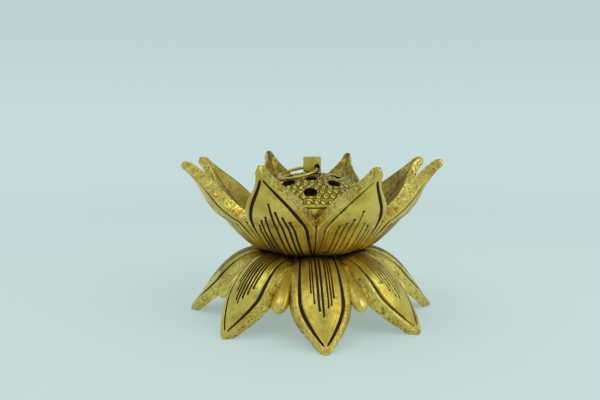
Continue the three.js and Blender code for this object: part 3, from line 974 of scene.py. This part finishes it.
def lid_ring():
    """A bent wire ring through the knob's hole, lying down on the dome."""
    reach = 2 * RING_RADIUS - RING_OFFSET
    above = pivot_height() - dome_centre()
    clear = DOME_RADIUS + RING_WIRE + 0.3 * MM
    tilt = math.asin((reach**2 + above**2 - clear**2) / (2 * reach * above))
    segments, sides = 120, 18
    points, faces = [], []
    for k in range(segments):
        turn = 2 * math.pi * k / segments
        wire = RING_WIRE * (1 - 0.06 * (1 + math.sin(3 * turn + 1)) / 2)
        for j in range(sides):
            around = 2 * math.pi * j / sides
            radius = RING_RADIUS + wire * math.cos(around)
            x, y, z = radius * math.sin(turn), radius * math.cos(turn), wire * math.sin(around)
            y, z = turned(y - (RING_RADIUS - RING_OFFSET), z, tilt)
            points.append((*turned(x, y, RING_HEADING), z + pivot_height()))
            a, b = k * sides + j, k * sides + (j + 1) % sides
            shift = ((k + 1) % segments - k) * sides
            faces.append((a, b, b + shift, a + shift))
    mesh = bpy.data.meshes.new("ring_wire")
    mesh.from_pydata(points, [], faces)
    bm = bmesh.new()
    bm.from_mesh(mesh)
    finish_mesh(mesh, bm)
    for label in ("patina_and_shade", "filed"):
        write(mesh, label, np.zeros(len(points)))
    return mesh


def washer(part):
    low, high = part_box(part)
    radius, bore, edge = high.x, SHANK_HOLE, 0.2 * MM
    outline = rounded([(bore, low.z), (radius, low.z), (radius, high.z), (bore, high.z)], edge)
    return surface_values(revolve(part + "_mesh", lambda _: outline, 64))


def nut(part, across=7 * MM):
    """A hexagon nut with its corners turned off at both ends."""
    low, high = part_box(part)
    flat, slope, bore = across / 2, math.tan(math.radians(30)), SHANK_HOLE
    inset, break_edge = 0.15 * MM, 0.3 * MM

    def outline(angle):
        corner = flat / math.cos((angle + math.pi / 2) % (math.pi / 3) - math.pi / 6)
        drop = (corner - flat + inset) * slope
        return [
            (bore, low.z + break_edge), (bore + break_edge, low.z), (flat - inset, low.z),
            (corner, low.z + drop), (corner, high.z - drop), (flat - inset, high.z),
            (bore + break_edge, high.z), (bore, high.z - break_edge),
        ]

    return surface_values(revolve(part + "_mesh", outline, 72))


def centre_screw():
    low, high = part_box("centre_screw")
    shank, head = 2 * MM, 4.2 * MM
    thread = threaded(shank, low.z, high.z - 5 * MM)

    def outline(angle):
        top = [
            (shank, high.z - 4.6 * MM), (shank, high.z - (head - shank)),
            (head, high.z - 0.12 * MM), (head - 0.12 * MM, high.z), (0, high.z),
        ]
        return [(0, low.z), *thread(angle), *top]

    body = revolve("screw_turned", outline, 72)
    slot = bpy.data.meshes.new("screw_slot")
    bm = bmesh.new()
    bmesh.ops.create_cube(bm, size=1)
    slot_size = Vector((4 * head, 1 * MM, 2.4 * MM))
    for vert in bm.verts:
        vert.co = Vector(a * b for a, b in zip(vert.co, slot_size)) + Vector((0, 0, high.z))
    bm.to_mesh(slot)
    bm.free()
    mesh = cut_away(body, [slot])
    mesh.name = "screw_turned"
    return surface_values(mesh, patina_and_shade=0.35)


# Materials


def node(tree, kind, inputs=None, **settings):
    """Adds a shader node. An input's value is a number or colour, or another node's socket."""
    made = tree.nodes.new(kind)
    for name, value in settings.items():
        setattr(made, name, value)
    for name, value in (inputs or {}).items():
        if isinstance(value, bpy.types.NodeSocket):
            tree.links.new(value, made.inputs[name])
        else:
            made.inputs[name].default_value = value
    return made


def linear(red, green, blue):
    """A colour given in sRGB from 0 to 255, as the linear colour that a shader takes."""
    parts = (part / 255 for part in (red, green, blue))
    return [p / 12.92 if p <= 0.04045 else ((p + 0.055) / 1.055) ** 2.4 for p in parts] + [1]


def calc(tree, operation, first, second=0.0, clamp=False):
    values = {0: first, 1: second}
    return node(tree, "ShaderNodeMath", values, operation=operation, use_clamp=clamp).outputs[0]


def spread(tree, value, low, high, to_low=0.0, to_high=1.0):
    """Maps a value from low..high to to_low..to_high with soft ends."""
    ends = {"Value": value, "From Min": low, "From Max": high, "To Min": to_low, "To Max": to_high}
    made = node(tree, "ShaderNodeMapRange", ends, interpolation_type="SMOOTHSTEP")
    return made.outputs["Result"]


def noise(tree, where, scale, detail=3.0, roughness=0.55):
    inputs = {"Vector": where, "Scale": scale, "Detail": detail, "Roughness": roughness}
    return node(tree, "ShaderNodeTexNoise", inputs).outputs["Fac"]


def stretched(tree, where, turn, squeeze):
    """Coordinates turned and squeezed, so that a noise becomes fine parallel marks."""
    made = node(tree, "ShaderNodeMapping", {"Vector": where, "Rotation": turn, "Scale": squeeze})
    return made.outputs["Vector"]


def blend_colour(tree, factor, first, second):
    return node(tree, "ShaderNodeMix", {0: factor, 6: first, 7: second}, data_type="RGBA").outputs[2]


def brass(name, bright, warm, polish, wear=0.22, grime=0.25, tool_marks=0.7):
    """Aged brass: two tones in soft patches, dark tarnish in the cuts, painted shade where the mesh
    asks, scratches and pits.

    polish is the roughness of the clean metal, wear what its worn patches add to that, grime how far
    the tarnish and painted shade creep out of the cuts and tool_marks how strongly filed edges are
    scored.
    """
    material = bpy.data.materials.new(name)
    material.use_nodes = True
    tree = material.node_tree
    shader = tree.nodes["Principled BSDF"]
    where = node(tree, "ShaderNodeTexCoord").outputs["Object"]
    # this attribute holds both real tarnish and painted shade
    patina_and_shade = node(tree, "ShaderNodeAttribute", attribute_name="patina_and_shade").outputs["Fac"]
    filed = node(tree, "ShaderNodeAttribute", attribute_name="filed").outputs["Fac"]

    patches = noise(tree, where, 75, 2)
    mottle = noise(tree, where, 520, 4, 0.6)
    grain = noise(tree, where, 2600, 2, 0.6)
    scratches = noise(tree, stretched(tree, where, (0.4, 0.9, 0.2), (4200, 260, 260)), 1, 2)
    strokes = noise(tree, stretched(tree, where, (0.2, 0.3, 1.1), (300, 3400, 500)), 1, 2)
    pits = node(tree, "ShaderNodeTexVoronoi", {"Vector": where, "Scale": 620, "Randomness": 1})
    pit = spread(tree, pits.outputs["Distance"], 0.12, 0.3, 1, 0)
    scored = noise(tree, where, 900, 3, 0.7)

    edge_pit = calc(tree, "MULTIPLY", spread(tree, scored, 0.5, 0.68), filed)
    creep = calc(tree, "MULTIPLY", calc(tree, "SUBTRACT", mottle, 0.5), grime)
    # tarnish and painted shade from the mesh, spread out by grime
    dirt_and_shade = spread(tree, calc(tree, "ADD", patina_and_shade, creep), 0.3, 0.58)
    scoring = calc(tree, "MULTIPLY", edge_pit, tool_marks)
    streaks = spread(tree, strokes, 0.68, 0.78, 0, 0.5)
    pitting = calc(tree, "MULTIPLY", pit, spread(tree, patches, 0.5, 0.72, 0, 0.35))
    for layer in (scoring, streaks, pitting):
        dirt_and_shade = calc(tree, "MAXIMUM", dirt_and_shade, layer)

    tone = blend_colour(tree, spread(tree, patches, 0.4, 0.66), bright, warm)
    tone = blend_colour(tree, spread(tree, mottle, 0.42, 0.75, 0, 0.4), tone, warm)
    stains = spread(tree, noise(tree, where, 170, 3), 0.53, 0.7, 0, 0.55)
    tone = blend_colour(tree, stains, tone, linear(184, 132, 58))
    fleck = calc(tree, "MULTIPLY", spread(tree, scored, 0.36, 0.5, 0.6, 0), filed)
    tone = blend_colour(tree, fleck, tone, linear(250, 236, 158))
    dark = linear(54, 39, 6)
    tree.links.new(blend_colour(tree, dirt_and_shade, tone, dark), shader.inputs["Base Color"])
    tree.links.new(spread(tree, dirt_and_shade, 0.2, 1, 1, 0.55), shader.inputs["Metallic"])
    worn = spread(tree, calc(tree, "ADD", mottle, calc(tree, "MULTIPLY", scratches, 0.3)), 0.4, 0.9)
    rough = calc(tree, "ADD", calc(tree, "MULTIPLY", worn, wear), polish)
    rough = calc(tree, "ADD", rough, calc(tree, "MULTIPLY", dirt_and_shade, 0.3), clamp=True)
    tree.links.new(rough, shader.inputs["Roughness"])

    relief = calc(tree, "MULTIPLY", mottle, 0.5)
    for marks, height in ((grain, 0.12), (scratches, 0.12), (strokes, 0.12), (edge_pit, -0.9)):
        relief = calc(tree, "ADD", relief, calc(tree, "MULTIPLY", marks, height))
    bump = node(tree, "ShaderNodeBump", {"Height": relief, "Strength": 0.5, "Distance": 0.16 * MM})
    tree.links.new(bump.outputs["Normal"], shader.inputs["Normal"])
    return material


# Stage

HORIZON = (197, 219, 218)
SKY = (188, 212, 212)
LAMP_COLOUR = (0.92, 1, 0.95)  # a little green, as a daylight tube


def seen_or_mirrored(tree):
    """1 for rays that the camera or a shiny surface sends out, and 0 for the light of the room."""
    path = node(tree, "ShaderNodeLightPath")
    both = calc(tree, "ADD", path.outputs["Is Camera Ray"], path.outputs["Is Glossy Ray"])
    return calc(tree, "MINIMUM", both, 1.0)


def pale_floor():
    """A matt pale floor that goes over into the backdrop's colour some way from the object."""
    material = bpy.data.materials.new("pale_floor")
    material.use_nodes = True
    tree = material.node_tree
    matt = tree.nodes["Principled BSDF"]
    matt.inputs["Base Color"].default_value = linear(211, 231, 231)
    matt.inputs["Roughness"].default_value = 0.75
    matt.inputs["Specular IOR Level"].default_value = 0.1
    backdrop = node(tree, "ShaderNodeEmission", {"Color": linear(*HORIZON), "Strength": 1.0})
    where = node(tree, "ShaderNodeTexCoord").outputs["Object"]
    distance = node(tree, "ShaderNodeVectorMath", {0: where}, operation="LENGTH").outputs["Value"]
    blend = spread(tree, distance, 0.12, 0.7, 0.5, 1)
    far = calc(tree, "MULTIPLY", blend, seen_or_mirrored(tree))
    layers = {0: far, 1: matt.outputs["BSDF"], 2: backdrop.outputs["Emission"]}
    surface = node(tree, "ShaderNodeMixShader", layers)
    tree.links.new(surface.outputs["Shader"], tree.nodes["Material Output"].inputs["Surface"])
    return material


def floor_disc():
    mesh = bpy.data.meshes.new("floor_disc")
    bm = bmesh.new()
    bmesh.ops.create_circle(bm, cap_ends=True, segments=96, radius=4)
    bm.to_mesh(mesh)
    bm.free()
    floor = add_object("floor", mesh)
    mesh.materials.append(pale_floor())


def world_light():
    """A pale surround that the camera and the metal see, and a plain white light from all round."""
    world = bpy.data.worlds.new("pale_surround")
    bpy.context.scene.world = world
    world.use_nodes = True
    tree = world.node_tree
    where = node(tree, "ShaderNodeTexCoord").outputs["Generated"]
    height = node(tree, "ShaderNodeSeparateXYZ", {"Vector": where}).outputs["Z"]
    rise = spread(tree, height, 0, 0.16)
    colour = blend_colour(tree, rise, linear(*HORIZON), linear(*SKY))
    colour = blend_colour(tree, spread(tree, height, 0.35, 0.9), colour, linear(116, 128, 126))
    colour = blend_colour(tree, seen_or_mirrored(tree), linear(206, 208, 206), colour)
    tree.links.new(colour, tree.nodes["Background"].inputs["Color"])
    tree.nodes["Background"].inputs["Strength"].default_value = 1


def soft_box(name, place, target, size, power):
    data = bpy.data.lights.new(name, "AREA")
    data.shape = "RECTANGLE"
    data.size, data.size_y = size
    data.energy = power
    data.color = LAMP_COLOUR
    lamp = add_object(name, data)
    lamp.location = place
    lamp.rotation_euler = (Vector(target) - Vector(place)).to_track_quat("-Z", "Y").to_euler()


def photo_camera():
    data = bpy.data.cameras.new("photo_camera")
    data.lens, data.sensor_width = 35, 36
    data.clip_start, data.clip_end = 0.01, 20
    camera = add_object("photo_camera", data)
    camera.location = (-23.19 * MM, -270.87 * MM, 87.2 * MM)
    camera.rotation_euler = (math.radians(90 - 7.37), 0, math.radians(-3.7))
    bpy.context.scene.camera = camera


def dress(name, mesh, body, nodes, material):
    """Adds a piece that stands for CAD nodes and moves with their body."""
    piece = add_object(name, mesh)
    mesh.materials.clear()
    mesh.materials.append(material)
    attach(piece, body)
    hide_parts(*nodes)


def main():
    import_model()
    golden = linear(236, 208, 104)
    warm = linear(210, 176, 76)
    lotus = brass("lotus_brass", golden, warm, 0.26)
    bowl = brass("bowl_brass", linear(232, 208, 112), warm, 0.07, wear=0.08, grime=0.15)
    lid = brass("lid_brass", linear(228, 208, 98), warm, 0.28)
    knob = brass("knob_brass", linear(218, 200, 104), warm, 0.26)
    fastener = brass("fastener_brass", linear(188, 164, 96), warm, 0.34, grime=0.5)

    dress("base_petals", base_lotus(), "stand", ["base_lotus"], lotus)
    dress("cup_petals", cup_lotus(), "stand", ["cup_lotus"], lotus)
    dress("bowl", dhoop_bowl(), "stand", ["dhoop_bowl"], bowl)
    dress("screw", centre_screw(), "stand", ["centre_screw"], fastener)
    dress("under_washer", washer("base_washer"), "stand", ["base_washer"], fastener)
    dress("under_nut", nut("base_nut"), "stand", ["base_nut"], fastener)
    dress("lid", lid_dome(), "lid", ["lid_dome"], lid)
    dress("knob", lid_knob(), "lid", ["lid_knob"], knob)
    dress("lid_washer", washer("knob_washer"), "lid", ["knob_washer"], fastener)
    dress("lid_nut", nut("knob_nut"), "lid", ["knob_nut"], fastener)
    dress("wire_ring", lid_ring(), "ring", ["lid_ring"], knob)

    floor_disc()
    world_light()
    aim = (0, 0, 30 * MM)
    soft_box("key", (-0.22, -0.15, 0.8), aim, (0.7, 0.7), 1.7)
    soft_box("side", (0.5, -0.35, 0.5), aim, (0.5, 0.5), 1.2)
    photo_camera()
    bpy.context.scene.view_settings.view_transform = "Standard"


main()
